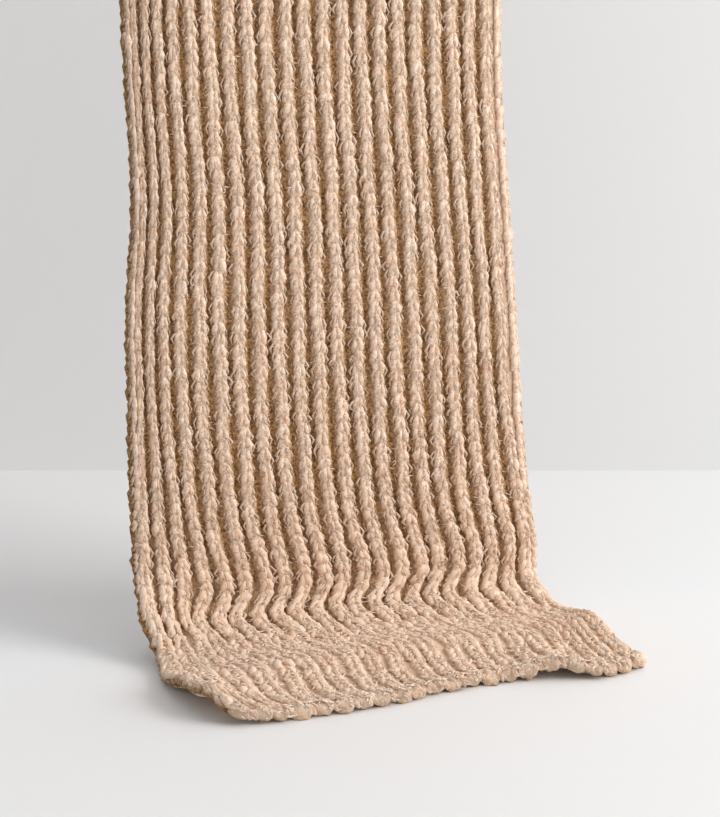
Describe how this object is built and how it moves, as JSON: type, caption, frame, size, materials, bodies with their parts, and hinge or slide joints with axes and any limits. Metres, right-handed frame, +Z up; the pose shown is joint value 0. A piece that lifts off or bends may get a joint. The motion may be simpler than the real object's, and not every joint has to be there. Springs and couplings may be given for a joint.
{
  "type": "knit scarf",
  "caption": "Long chunky rib-knit wool scarf, folded over an unseen rail and hanging, with its front end slumped forward onto a flat surface.",
  "frame": {"origin": "inside the fold at its crown, where the cloth rests on top of the rail that holds it up", "axes": "+X along the rail, across the scarf; +Y from the front stretch to the back stretch; +Z up"},
  "size_m": [0.2872, 0.2086, 1.0274],
  "materials": {
    "wool_rib_knit": "soft brushed wool rib knit in camel beige, slightly hairy, matt",
    "wool_edge": "matt camel beige wool, a row of beads along each end"
  },
  "bodies": {
    "root": {"front_beaded_edge": "wool_edge", "lying_end": "wool_rib_knit", "slumped_bend": "wool_rib_knit", "front_hang": "wool_rib_knit", "rail_fold": "wool_rib_knit", "back_hang": "wool_rib_knit", "back_beaded_edge": "wool_edge"}
  },
  "joints": []
}
